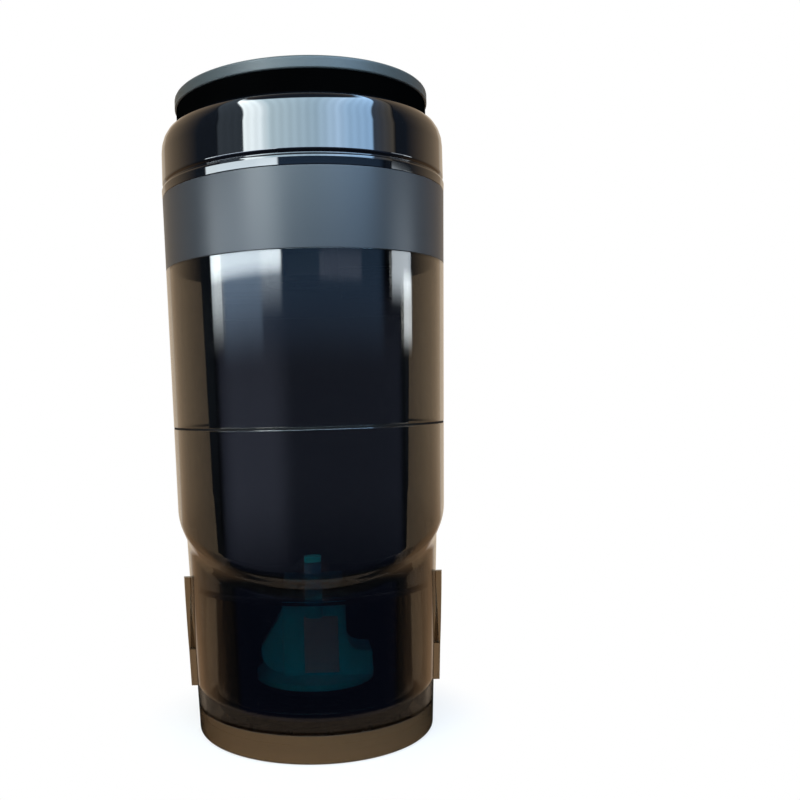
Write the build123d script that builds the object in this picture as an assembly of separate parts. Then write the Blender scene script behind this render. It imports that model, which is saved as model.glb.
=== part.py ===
from build123d import *

import math
import os

# Used-water tank of an upright floor washer.
# Millimetres, +Z up, origin on the standing surface under the tank's axis, front towards -Y.

# Tank body
rim_height = 205.8          # top of the neck, where the lid seats
rim_radius = 55.1           # outside of the band at the rim
upper_draft = 1.4           # degrees, upper part
lower_draft = 2.6           # degrees, foot
wall = 2.6                  # shell thickness
band_height = 27.9          # band round the neck
band_wall = 1.3
bond_gap = 0.05             # glue line between bonded pieces
level_height = 117.0        # moulded level line
level_groove = 0.5          # depth and half width of that line
base_edge = 1.0             # rounding of the base ring

# Slanted step between the upper part and the foot
step_height = 86.5          # upper edge of the step, on the axis
step_tilt = 22.0            # degrees, low side in front
step_drop = 7.5             # height of the sloping ledge
step_width = 2.6            # how far the ledge goes in

# Base and inlet
skirt_depth = 3.6           # hollow under the tank floor
floor_wall = 2.4
inlet_radius = 15.0         # bore of the inlet spigot
spigot_wall = 3.0
spigot_lift = 1.0           # spigot end above the standing surface
spigot_gap = 0.4            # round the spigot in the tank floor
gasket_width = 4.0
gasket_drop = 2.2

# Cup in the foot, a tinted tube on a black tray
cup_gap = 4.45              # from the foot's inside at the base
cup_wall = 2.0
tray_height = 6.2
rib_count = 15              # standing ribs under the cup
rib_height = 3.3
rib_width = 1.5
rib_length = 3.2
rib_turn = 8.0              # degrees from the front to the first rib
seat_rise = 4.6             # spigot end above the cup floor

# Deck over the cup
deck_wall = 2.4
deck_lip = 2.0              # locating lip inside the cup's mouth
guide_height = 5.0          # stem guide above the deck
guide_wall = 2.6
baffle_front = 25.0         # front of the baffle, behind the axis
baffle_wall = 2.0
baffle_gap = 0.3            # from the cup's inside
baffle_rise = 10.0          # above the cup floor, where the water passes
baffle_edge = 2.0

# Riser duct behind the water space
riser_front = 21.0          # front panel, behind the axis
riser_drop = 1.8839         # top below the lid's plug
riser_side_low = 14.1       # sides inside the rim, at the deck
riser_side_top = 10.1       # sides inside the rim, at the top
riser_wall = 2.0
riser_gap = 0.5             # from the shell
outlet_inner = 15.0         # louvred outlets, near and far edge from the middle
outlet_outer = 37.0
outlet_height = 15.0
outlet_margin = 7.0         # below the duct's top
louvre_count = 3
louvre_wall = 1.4
louvre_tilt = 35.0
ridge_drop = 28.0           # ridge across the panel, below its top
ridge_width = 1.6
ridge_stand = 1.0

# Check valve over the inlet
valve_lift = 4.0
valve_gap = 0.4             # left between the tower and the deck at full lift
seat_wall = 1.6             # rubber seat on the spigot
seat_overhang = 1.6
seat_clear = 0.6            # seat bore beyond the inlet bore
pad_wall = 1.4
flange_radius = 23.0
flange_wall = 2.2
tower_width = 24.6
tower_depth = 21.0
tower_round = 3.0
stem_radius = 3.4
stem_gap = 0.3
stem_reach = 2.0            # above the guide when closed
weight_width = 13.0
weight_depth = 6.0
weight_rise = 1.0           # above the flange
weight_shift = 2.6          # to the right of the axis
boss_height = 4.5           # front boss over the weight
block_reach = 9.6           # stepped block beside the tower
block_height = 9.2
block_round = 6.0           # hollow curve between the block and the tower
wing_reach = 8.7            # wing on the other side
wing_middle = 9.2           # its widest height above the flange
wing_drop = 6.8             # its top below the tower's top
wing_foot = 1.7
wing_wall = 9.0

# Rails on the sides of the foot
rail_stand = 2.4            # how far a rail stands out
rail_bottom = 16.0
tab_height = 14.0
tab_width = 9.0
arm_height = 30.0
arm_spread = 12.0
arm_width = 2.6

# Lid
bead_height = 4.4
bead_stand = 0.45           # beyond the rim radius
collar_inset = 0.1          # collar inside the rim radius
collar_height = 26.4        # rim to the collar's top
collar_wall = 2.0
collar_deck = 2.4
shoulder_width = 5.5
shoulder_height = 9.0
lid_gap = 0.3               # between lid pieces
flange_seat = 2.4           # lid plate thickness
plug_depth = 15.0
plug_wall = 2.4
plug_gap = 0.6
seal_height = 4.0
seal_depth = 1.2
seal_gap = 0.2              # seal lip to the neck
well_inset = 1.4            # well inside the ring's bore
well_wall = 2.0
well_flange = 2.5           # on the lid plate
well_drop = 10.0            # well floor under the rim
well_floor = 2.4

# Shut-off float under the air port
port_radius = 8.6
float_seat_radius = 12.2
cage_radius = 15.4
cage_wall = 2.4
cage_flange_radius = 25.0
cage_flange = 2.4
cage_depth = 24.0
cage_rib_count = 4
cage_rib_width = 5.0
cage_floor = 2.2
float_radius = 11.6
float_height = 10.0
float_wall = 1.6
screw_count = 3
screw_circle = 20.8
screw_radius = 1.4
screw_head_radius = 2.7
screw_head = 1.8
screw_gap = 0.1

# Filter
cap_height = 4.7
cap_edge = 1.2
ring_inset = 0.6            # ring inside the cap's edge
ring_height = 8.1
ring_width = 5.5
frame_inset = 3.4           # frame inside the well
frame_wall = 2.0
frame_rib_count = 8
frame_rib_width = 4.0
frame_gap = 0.4
media_depth = 12.6          # frame to core
core_wall = 1.8
media_count = 36            # pleats
media_wall = 0.9
end_gap = 4.0               # under the filter in its well
end_wall = 2.2
grille_hub = 6.0
grille_vanes = 6
grille_vane_width = 2.2
grille_height = 3.0
grille_sink = 1.0           # grille below the cap's top face

# Heights and radii that follow
step_slope = math.tan(math.radians(step_tilt))
upper_slope = math.tan(math.radians(upper_draft))
lower_slope = math.tan(math.radians(lower_draft))
floor_top = skirt_depth + floor_wall
cup_bottom = floor_top + rib_height
cup_floor_top = cup_bottom + cup_wall
tray_top = cup_bottom + tray_height
seat_bottom = cup_floor_top + seat_rise
seat_top = seat_bottom + seat_wall
pad_top = seat_top + pad_wall
flange_top = pad_top + flange_wall
spigot_radius = inlet_radius + spigot_wall
plug_radius = rim_radius - plug_depth * upper_slope - wall - plug_gap
collar_top = rim_height + collar_height
collar_radius = rim_radius - collar_inset
cap_radius = collar_radius - shoulder_width
ring_radius = cap_radius - ring_inset
ring_bore = ring_radius - ring_width
well_radius = ring_bore - well_inset
well_outside = well_radius + well_wall
frame_radius = well_radius - frame_inset
core_radius = frame_radius - media_depth
cap_bottom = collar_top + ring_height
cap_top = cap_bottom + cap_height
plate_top = rim_height + flange_seat
well_bottom = rim_height - well_drop
well_top = well_bottom + well_floor
well_rim = collar_top - collar_deck
cage_top = well_bottom
cage_bottom = cage_top - cage_depth
float_bottom = cage_bottom + cage_floor
float_top = float_bottom + float_height
float_seat_bottom = cage_top - cage_flange
end_bottom = well_top + end_gap
media_bottom = end_bottom + end_wall
media_top = collar_top
band_bottom = rim_height - band_height
seal_bottom = rim_height - plug_depth / 2 - seal_height / 2
seal_top = seal_bottom + seal_height
big = 4 * rim_radius         # reaches past the tank on every side


def upper_radius(height):
    """Outside radius of the upper part."""
    return rim_radius - (rim_height - height) * upper_slope


def lower_radius(height):
    """Outside radius of the foot."""
    return upper_radius(step_height) - step_width - (step_height - height) * lower_slope


# The cup stands clear of the foot's inside, the deck lies just under the lowest point of the step
cup_radius = lower_radius(0) - wall - cup_gap
cup_inside = cup_radius - cup_wall
deck_top = step_height - step_drop - upper_radius(step_height) * step_slope
deck_bottom = deck_top - deck_wall
tower_top = deck_bottom - valve_lift - valve_gap
stem_top = deck_top + guide_height + stem_reach
stem_bottom = tower_top - tower_round
weight_bottom = flange_top + weight_rise
weight_top = stem_bottom - boss_height
riser_top = rim_height - plug_depth - riser_drop
riser_half_low = rim_radius - riser_side_low
riser_half_top = rim_radius - riser_side_top


def turned(*corners):
    """Solid of revolution about Z from (radius, height) corners; a third value rounds that corner."""
    face = make_face(Polyline(*[corner[:2] for corner in corners], close=True))
    for corner in corners:
        if len(corner) == 3:
            vertex = face.vertices().sort_by_distance((corner[0], corner[1], 0))[0]
            face = fillet(vertex, corner[2])
    return revolve(Plane.XZ * face, Axis.Z)


def quarter(centre, x_radius, y_radius, start):
    """Quarter of an ellipse from a start angle."""
    return EllipticalCenterArc(centre, x_radius, y_radius, start, arc_size=90)


def ring(inner, outer, low, high):
    """Plain ring about the axis between two heights."""
    return turned((inner, low), (outer, low), (outer, high), (inner, high))


def block(x_low, x_high, y_low, y_high, z_low, z_high):
    """Box between two corners."""
    size = (x_high - x_low, y_high - y_low, z_high - z_low)
    centre = ((x_low + x_high) / 2, (y_low + y_high) / 2, (z_low + z_high) / 2)
    return Pos(*centre) * Box(*size)


def around(piece, count, start=0.0):
    """Copies of a piece evenly spaced about Z."""
    return [Rot(0, 0, start + 360 * index / count) * piece for index in range(count)]


def cone(radius_at, low, high, inset):
    """Tapered solid that follows a radius, drawn in by inset."""
    return turned((0, low), (radius_at(low) - inset, low), (radius_at(high) - inset, high), (0, high))


def slant(height):
    """Plane parallel to the step that crosses the axis at a height."""
    tilt = math.radians(step_tilt)
    return Plane(origin=(0, 0, height), z_dir=(0, -math.sin(tilt), math.cos(tilt)))


def stepped_body(inset, low, high):
    """Solid of the tank's form between two heights, drawn in by inset: foot, sloping ledge, upper part."""
    reach = (rim_radius + abs(inset)) * step_slope + step_drop
    upper = split(cone(upper_radius, step_height - reach, high, inset), slant(step_height), Keep.TOP)
    foot_top = slant(step_height - step_drop)
    foot = split(cone(lower_radius, low, step_height + reach, inset), foot_top, Keep.BOTTOM)
    ledge = loft([foot.faces().sort_by(Axis.Z)[-1], upper.faces().sort_by(Axis.Z)[0]], ruled=True)
    return foot + ledge + upper


def tank_shell():
    """Tinted shell: stepped body, floor over a skirt, neck turned down for the band, level line."""
    shell = stepped_body(0, 0, rim_height) - stepped_body(wall, floor_top, rim_height + wall)
    shell -= cone(lower_radius, -wall, skirt_depth, wall)
    shell -= Cylinder(spigot_radius + spigot_gap, big)
    shell -= ring(upper_radius(band_bottom) - band_wall, big, band_bottom, rim_height + wall)
    level_radius = upper_radius(level_height)
    shell -= turned(
        (level_radius - level_groove, level_height),
        (level_radius + level_groove, level_height - 2 * level_groove),
        (level_radius + level_groove, level_height + 2 * level_groove),
    )
    base = shell.edges().filter_by(GeomType.CIRCLE).group_by(Axis.Z)[0].sort_by(SortBy.RADIUS)[-1]
    return fillet(base, base_edge)


def top_band():
    """Matte band bonded into the neck's recess, flush with the shell."""
    inner = upper_radius(band_bottom) - band_wall + bond_gap
    return turned(
        (inner, band_bottom),
        (upper_radius(band_bottom), band_bottom),
        (rim_radius, rim_height),
        (inner, rim_height),
    )


def foot_cup():
    """Tinted tube of the cup, between its tray and the deck."""
    return ring(cup_inside, cup_radius, tray_top, deck_bottom)


def cup_base():
    """Black tray under the cup: floor, rim, inlet spigot that carries the valve seat, standing ribs."""
    tray = turned(
        (inlet_radius, spigot_lift),
        (spigot_radius, spigot_lift),
        (spigot_radius, cup_bottom),
        (cup_radius, cup_bottom, cup_wall),
        (cup_radius, tray_top),
        (cup_inside, tray_top),
        (cup_inside, cup_floor_top, cup_wall),
        (spigot_radius, cup_floor_top),
        (spigot_radius, seat_bottom),
        (inlet_radius, seat_bottom),
    )
    rib = block(-rib_width / 2, rib_width / 2, -cup_inside, rib_length - cup_inside, floor_top, cup_bottom)
    return tray + around(rib, rib_count, rib_turn)


def foot_deck():
    """Deck bonded across the foot: port to the riser, locating lip in the cup's mouth, stem guide."""
    edge = wall + bond_gap
    deck = cone(lower_radius, deck_bottom, deck_top, edge)
    lip_radius = cup_inside - bond_gap
    deck += ring(lip_radius - deck_wall, lip_radius, deck_bottom - deck_lip, deck_bottom)
    guide_radius = stem_radius + stem_gap
    deck += Pos(0, 0, deck_top + guide_height / 2) * Cylinder(guide_radius + guide_wall, guide_height)
    deck -= Cylinder(guide_radius, big)
    deck -= block(-big, big, baffle_front - bond_gap, big, 0, deck_bottom)
    port = Pos(0, 0, deck_bottom) * Cylinder(lip_radius, 4 * deck_wall)
    return deck - (port & block(-big, big, baffle_front + baffle_wall, big, 0, big))


def deck_baffle():
    """Plate under the deck that leads the water down and under it before the riser."""
    back = baffle_front + baffle_wall
    half = math.sqrt((cup_inside - baffle_gap) ** 2 - back ** 2)
    plate = block(-half, half, baffle_front, back, cup_floor_top + baffle_rise, deck_bottom)
    lower = plate.edges().filter_by(Axis.Y).group_by(Axis.Z)[0]
    return fillet(lower, baffle_edge)


def riser_form(inset):
    """Solid of the riser, drawn in by inset: straight sides that widen upwards, back shaped to the shell."""
    low = riser_half_low - inset
    high = riser_half_top - inset
    sides = Polyline((-low, deck_top), (low, deck_top), (high, riser_top), (-high, riser_top), close=True)
    prism = extrude(Plane.XZ * make_face(sides), -big)
    return stepped_body(wall + riser_gap + inset, skirt_depth, riser_top) & prism


def riser_duct():
    """Back of the riser: sides and roof, open below, bonded to the panel in front."""
    seam = riser_front + riser_wall + bond_gap
    duct = riser_form(0) & block(-big, big, seam, big, deck_top, riser_top)
    return duct - (riser_form(riser_wall) & block(-big, big, 0, big, 0, riser_top - riser_wall))


def riser_panel():
    """Front of the riser: flat panel with a ridge across it and louvred outlets near its top."""
    back = riser_front + riser_wall
    panel = riser_form(0) & block(-big, big, riser_front, back, deck_top, riser_top)
    ridge_low = riser_top - ridge_drop
    ridge_front = riser_front - ridge_stand
    panel += block(-riser_half_low, riser_half_low, ridge_front, back, ridge_low, ridge_low + ridge_width)
    outlet_top = riser_top - outlet_margin
    outlet_bottom = outlet_top - outlet_height
    for side in (-1, 1):
        x_low, x_high = sorted((side * outlet_inner, side * outlet_outer))
        panel -= block(x_low, x_high, 0, back, outlet_bottom, outlet_top)
        slats = []
        for index in range(louvre_count):
            height = outlet_bottom + outlet_height * (index + 0.5) / louvre_count
            blade = Box(x_high - x_low, 2 * riser_wall, louvre_wall)
            middle = Pos((x_low + x_high) / 2, riser_front + riser_wall / 2, height)
            slats.append(middle * Rot(louvre_tilt, 0, 0) * blade)
        panel += slats
    return panel


def valve_seat():
    """Rubber ring on the end of the inlet spigot."""
    return ring(inlet_radius + seat_clear, spigot_radius + seat_overhang, seat_bottom, seat_top)


def inlet_gasket():
    """Rubber ring round the spigot, against the underside of the tank floor."""
    inner = spigot_radius + bond_gap
    low = skirt_depth - gasket_drop
    return turned(
        (inner, low),
        (inner + gasket_width / 2, low),
        (inner + gasket_width, skirt_depth),
        (inner, skirt_depth),
    )


def valve_bell():
    """Teal valve: round flange, tower with a recess for its weight, stem, boss, wing and stepped block."""
    bell = Pos(0, 0, (pad_top + flange_top) / 2) * Cylinder(flange_radius, flange_wall)
    tower = Pos(0, 0, (flange_top + tower_top) / 2) * Box(tower_width, tower_depth, tower_top - flange_top)
    tower = fillet(tower.edges().filter_by(Axis.Z), tower_round)
    tower = chamfer(tower.faces().sort_by(Axis.Z)[-1].edges(), tower_round / 2)
    bell += tower
    bell += Pos(0, 0, (stem_bottom + stem_top) / 2) * Cylinder(stem_radius, stem_top - stem_bottom)
    bell += Pos(0, -tower_depth / 2, weight_top + boss_height / 2) * Cylinder(stem_radius, boss_height)
    side = tower_width / 2
    block_top = flange_top + block_height
    step = make_face(
        [
            Polyline((0, flange_top), (side + block_reach, flange_top), (side + block_reach, block_top)),
            Line((side + block_reach, block_top), (side + block_round, block_top)),
            quarter((side + block_round, block_top + block_round), block_round, block_round, 180),
            Polyline((side, block_top + block_round), (0, block_top + block_round), (0, flange_top)),
        ]
    )
    bell += Pos(0, -tower_depth / 8, 0) * extrude(Plane.XZ * step, 3 * tower_depth / 8, both=True)
    wing_top = tower_top - wing_drop
    widest = flange_top + wing_middle
    wing = make_face(
        [
            quarter((-side - wing_foot, widest), wing_reach - wing_foot, wing_middle, 180),
            Polyline((-side - wing_foot, flange_top), (0, flange_top), (0, wing_top), (-side, wing_top)),
            Line((-side, wing_top), (-side - wing_reach, widest)),
        ]
    )
    bell += extrude(Plane.XZ * wing, wing_wall / 2, both=True)
    return bell - weight_space(bond_gap)


def weight_space(room):
    """Box of the weight in the tower's front, with room round it."""
    front = -tower_depth / 2
    return block(
        weight_shift - weight_width / 2 - room,
        weight_shift + weight_width / 2 + room,
        front - room,
        front + weight_depth + room,
        weight_bottom - room,
        weight_top + room,
    )


def valve_weight():
    """Grey bar in the tower's front."""
    return weight_space(0)


def valve_pad():
    """Rubber pad bonded under the valve's flange."""
    return Pos(0, 0, (seat_top + pad_top) / 2) * Cylinder(flange_radius - seat_overhang, pad_wall)


def guide_rail(side):
    """Rail on one side of the foot: tab below, two arms that spread upwards, shaped to the shell."""
    middle = rail_bottom + tab_height
    tab = make_face(Polyline(
        (-tab_width / 2, rail_bottom),
        (tab_width / 2, rail_bottom),
        (tab_width / 2, middle),
        (-tab_width / 2, middle),
        close=True,
    ))
    outline = tab
    for turn in (-1, 1):
        outline += make_face(Polyline(
            (turn * (arm_spread - arm_width / 2), middle + arm_height),
            (turn * (arm_spread + arm_width / 2), middle + arm_height),
            (turn * tab_width / 2, middle),
            (turn * (tab_width / 2 - arm_width), middle),
            close=True,
        ))
    prism = extrude(Plane.YZ * outline, side * big / 2)
    skin = stepped_body(-rail_stand, 0, rim_height) - stepped_body(-bond_gap, 0, rim_height)
    return prism & skin


def lid_collar():
    """Gloss collar: bead at the rim, plain wall, elliptical shoulder, deck round the filter's hole."""
    bead = rim_radius + bead_stand
    bead_top = rim_height + bead_height
    inside = collar_radius - collar_wall
    shoulder = (collar_radius - shoulder_width, collar_top - shoulder_height)
    face = make_face(
        [
            Polyline((inside, rim_height), (rim_radius, rim_height), (bead, rim_height + bead_height / 3)),
            Line((bead, rim_height + bead_height / 3), (collar_radius - 2 * bead_stand, bead_top)),
            Line((collar_radius - 2 * bead_stand, bead_top), (collar_radius, bead_top + 2 * bead_stand)),
            Line((collar_radius, bead_top + 2 * bead_stand), (collar_radius, collar_top - shoulder_height)),
            quarter(shoulder, shoulder_width, shoulder_height, 0),
            Polyline(
                (collar_radius - shoulder_width, collar_top),
                (ring_bore, collar_top),
                (ring_bore, well_rim),
                (collar_radius - shoulder_width, well_rim),
            ),
            quarter(shoulder, shoulder_width - collar_wall, shoulder_height - collar_deck, 0),
            Line((inside, collar_top - shoulder_height), (inside, rim_height)),
        ]
    )
    return revolve(Plane.XZ * face, Axis.Z)


def lid_plate():
    """Inner lid: plug with a seal groove and a seat on the rim, open for the filter well."""
    outside = collar_radius - collar_wall - lid_gap
    plug_bottom = rim_height - plug_depth
    groove = plug_radius - seal_depth
    return turned(
        (well_outside + bond_gap, rim_height),
        (plug_radius - plug_wall, rim_height),
        (plug_radius - plug_wall, plug_bottom),
        (plug_radius, plug_bottom),
        (plug_radius, seal_bottom),
        (groove, seal_bottom),
        (groove, seal_top),
        (plug_radius, seal_top),
        (plug_radius, rim_height),
        (outside, rim_height),
        (outside, plate_top),
        (well_outside + bond_gap, plate_top),
    )


def filter_well():
    """Well that holds the filter: floor with the air port, wall, flange on the lid plate."""
    well = turned(
        (port_radius, well_bottom),
        (well_outside, well_bottom),
        (well_outside, plate_top),
        (well_outside + well_flange, plate_top),
        (well_outside + well_flange, plate_top + well_wall),
        (well_outside, plate_top + well_wall),
        (well_outside, well_rim),
        (well_radius, well_rim),
        (well_radius, well_top),
        (port_radius, well_top),
    )
    pilot = Pos(screw_circle, 0, well_bottom) * Cylinder(screw_radius + screw_gap, 4 * well_floor)
    return well - around(pilot, screw_count)


def lid_seal():
    """Rubber ring in the plug's groove with two lips."""
    inner = plug_radius - seal_depth + bond_gap
    lip = upper_radius(rim_height - plug_depth) - wall - seal_gap
    low = seal_bottom + bond_gap
    high = seal_top - bond_gap
    middle = (low + high) / 2
    return turned(
        (inner, low),
        (plug_radius, low),
        (lip, (low + middle) / 2),
        (plug_radius, middle),
        (lip, (middle + high) / 2),
        (plug_radius, high),
        (inner, high),
    )


def float_cage():
    """Cage under the air port: flange, ribs and an open floor that carries the float."""
    inner = cage_radius - cage_wall
    cage = ring(float_seat_radius + bond_gap, cage_flange_radius, float_seat_bottom, cage_top)
    cage += ring(float_radius / 2, cage_radius, cage_bottom, float_bottom)
    rib = block(inner, cage_radius, -cage_rib_width / 2, cage_rib_width / 2, cage_bottom, float_seat_bottom)
    cage += around(rib, cage_rib_count, 180 / cage_rib_count)
    hole = Pos(screw_circle, 0, float_seat_bottom) * Cylinder(screw_radius + screw_gap, 4 * cage_flange)
    return cage - around(hole, screw_count)


def float_seat():
    """Rubber ring round the air port that the float closes on."""
    return ring(port_radius, float_seat_radius, float_seat_bottom, cage_top)


def shutoff_float():
    """Hollow float, open below, with a rounded crown."""
    return turned(
        (0, float_top),
        (float_radius, float_top, float_wall),
        (float_radius, float_bottom),
        (float_radius - float_wall, float_bottom),
        (float_radius - float_wall, float_top - float_wall),
        (0, float_top - float_wall),
    )


def lid_screws():
    """Pan-head screws through the cage's flange into the well's floor."""
    head = Pos(screw_circle, 0, float_seat_bottom - screw_head / 2) * Cylinder(screw_head_radius, screw_head)
    shank_length = cage_flange + well_floor
    shank = Pos(screw_circle, 0, float_seat_bottom + shank_length / 2) * Cylinder(screw_radius, shank_length)
    return Compound(children=around(head + shank, screw_count))


def filter_cap():
    """Matte disc with a rounded edge and a grille over the filter's core."""
    disc = turned(
        (core_radius, cap_bottom),
        (cap_radius, cap_bottom, cap_edge / 2),
        (cap_radius, cap_top, cap_edge),
        (core_radius, cap_top, cap_edge / 2),
    )
    grille_top = cap_top - grille_sink
    grille_bottom = grille_top - grille_height
    disc += Pos(0, 0, (grille_top + grille_bottom) / 2) * Cylinder(grille_hub, grille_height)
    half = grille_vane_width / 2
    vane = block(grille_hub - half, core_radius + half, -half, half, grille_bottom, grille_top)
    return disc + around(vane, grille_vanes)


def cap_ring():
    """Black ring that seals the filter on the collar."""
    return ring(ring_bore, ring_radius, collar_top, cap_bottom)


def filter_frame():
    """Frame that hangs the filter from the cap: neck and funnel."""
    neck = ring_bore - frame_gap
    return turned(
        (core_radius, media_top),
        (frame_radius, media_top),
        (neck, media_top + (neck - frame_radius)),
        (neck, cap_bottom),
        (neck - frame_wall, cap_bottom),
        (neck - frame_wall, media_top + (neck - frame_radius) + frame_wall),
        (frame_radius - frame_wall, media_top + frame_wall),
        (core_radius, media_top + frame_wall),
    )


def filter_ribs():
    """Ribs round the pleats, between the frame and the end plate."""
    half = frame_rib_width / 2
    bar = block(0, big, -half, half, media_bottom, media_top)
    rib = bar & ring(frame_radius - frame_wall, frame_radius, media_bottom, media_top)
    return Compound(children=around(rib, frame_rib_count))


def filter_media():
    """Pleated ring of filter paper between the end plate and the frame."""
    outer = frame_radius - frame_wall - frame_gap
    inner = core_radius + core_wall
    turn = math.pi / media_count
    folds = []
    for shift in (0, media_wall):
        points = []
        for index in range(2 * media_count):
            radius = (outer - shift) if index % 2 == 0 else (inner + media_wall - shift)
            points.append((radius * math.cos(index * turn), radius * math.sin(index * turn)))
        folds.append(make_face(Polyline(*points, close=True)))
    star = folds[0] - folds[1]
    return Pos(0, 0, media_bottom) * extrude(star, media_top - media_bottom)


def filter_end_plate():
    """Closed plate under the pleats."""
    return turned(
        (0, end_bottom),
        (frame_radius, end_bottom, end_wall / 2),
        (frame_radius, media_bottom),
        (0, media_bottom),
    )


pieces = {
    "tank_shell": tank_shell(),
    "top_band": top_band(),
    "foot_cup": foot_cup(),
    "cup_base": cup_base(),
    "foot_deck": foot_deck(),
    "deck_baffle": deck_baffle(),
    "riser_duct": riser_duct(),
    "riser_panel": riser_panel(),
    "valve_seat": valve_seat(),
    "inlet_gasket": inlet_gasket(),
    "guide_rail_left": guide_rail(-1),
    "guide_rail_right": guide_rail(1),
    "valve_bell": valve_bell(),
    "valve_weight": valve_weight(),
    "valve_pad": valve_pad(),
    "lid_collar": lid_collar(),
    "lid_plate": lid_plate(),
    "filter_well": filter_well(),
    "lid_seal": lid_seal(),
    "lid_screws": lid_screws(),
    "float_cage": float_cage(),
    "float_seat": float_seat(),
    "shutoff_float": shutoff_float(),
    "filter_cap": filter_cap(),
    "cap_ring": cap_ring(),
    "filter_frame": filter_frame(),
    "filter_ribs": filter_ribs(),
    "filter_media": filter_media(),
    "filter_end_plate": filter_end_plate(),
}

os.makedirs("parts", exist_ok=True)
for name, piece in pieces.items():
    export_step(piece, f"parts/{name}.step")
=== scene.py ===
"""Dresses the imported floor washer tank: mouldings with rounded edges, finishes, studio and camera.

Sizes in the classes are in millimetres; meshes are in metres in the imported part's own frame,
+Z up, front towards -Y.
"""

import logging
import math
from dataclasses import dataclass, field
from enum import Enum
from typing import Any, Callable

import bpy
import numpy as np
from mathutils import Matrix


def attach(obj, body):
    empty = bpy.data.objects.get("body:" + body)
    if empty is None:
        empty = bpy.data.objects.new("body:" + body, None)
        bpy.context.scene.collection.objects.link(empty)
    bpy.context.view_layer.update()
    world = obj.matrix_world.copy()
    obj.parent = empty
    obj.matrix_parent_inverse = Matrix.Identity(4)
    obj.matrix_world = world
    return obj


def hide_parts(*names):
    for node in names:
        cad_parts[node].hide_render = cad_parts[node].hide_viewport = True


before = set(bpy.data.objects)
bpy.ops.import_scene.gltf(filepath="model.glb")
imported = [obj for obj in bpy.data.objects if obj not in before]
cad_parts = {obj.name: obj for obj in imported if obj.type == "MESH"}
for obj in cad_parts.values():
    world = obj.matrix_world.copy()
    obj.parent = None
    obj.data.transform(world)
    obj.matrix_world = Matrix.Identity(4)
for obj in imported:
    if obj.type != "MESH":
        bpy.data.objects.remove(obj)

LOG = logging.getLogger("tank")
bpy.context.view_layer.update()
MM = 0.001
# Sockets of a colour mix: first colour, second colour, result
MIX_A, MIX_B, MIX_OUT = 6, 7, 2
# Noise octaves of the colour clouds and of the grain, and how strongly the grain shows as relief
CLOUD_DETAIL, GRAIN_DETAIL, RELIEF_STRENGTH = 3.0, 2.0, 0.6
# Degrees from which an edge is shaded sharp
SHARP_ANGLE = 35.0
# Turns in a full circle of the largest mouldings
FINE_SEGMENTS = 224
# How far past a rounded corner the points stand that keep the flats flat, as a share of its rounding length
FLAT_GUARD = 1.12


class Body(Enum):
    """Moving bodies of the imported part."""

    TANK = "tank"
    LID = "lid"
    FILTER = "filter"
    FLOAT = "float"
    VALVE = "valve"


def linear(hex_text: str) -> tuple[float, float, float, float]:
    """Linear colour of an sRGB hex value.

    Each channel c from 0 to 1 becomes ((c + 0.055) / 1.055) to the power 2.4, or c / 12.92 where it is dark.

    Args:
        hex_text: colour such as "#3a3c40".

    Returns:
        Linear red, green, blue and an alpha of 1.
    """
    channels = np.array([int(hex_text[i:i + 2], 16) for i in (1, 3, 5)]) / 255.0
    light = np.where(channels > 0.04045, ((channels + 0.055) / 1.055) ** 2.4, channels / 12.92)
    return (*light.tolist(), 1.0)


def add_node(
    tree: bpy.types.NodeTree,
    kind: str,
    props: dict[str, Any] | None = None,
    values: dict[Any, Any] | None = None,
    links: dict[Any, bpy.types.NodeSocket] | None = None,
) -> bpy.types.Node:
    """Adds one node with its settings and links.

    Args:
        tree: node tree that gets the node.
        kind: Blender's name of the node type.
        props: node properties to set.
        values: input sockets and the constants they hold.
        links: input sockets and the output sockets that feed them.

    Returns:
        The new node.
    """
    node = tree.nodes.new(kind)
    for name, value in (props or {}).items():
        setattr(node, name, value)
    for name, value in (values or {}).items():
        node.inputs[name].default_value = value
    for name, source in (links or {}).items():
        tree.links.new(source, node.inputs[name])
    return node


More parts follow.
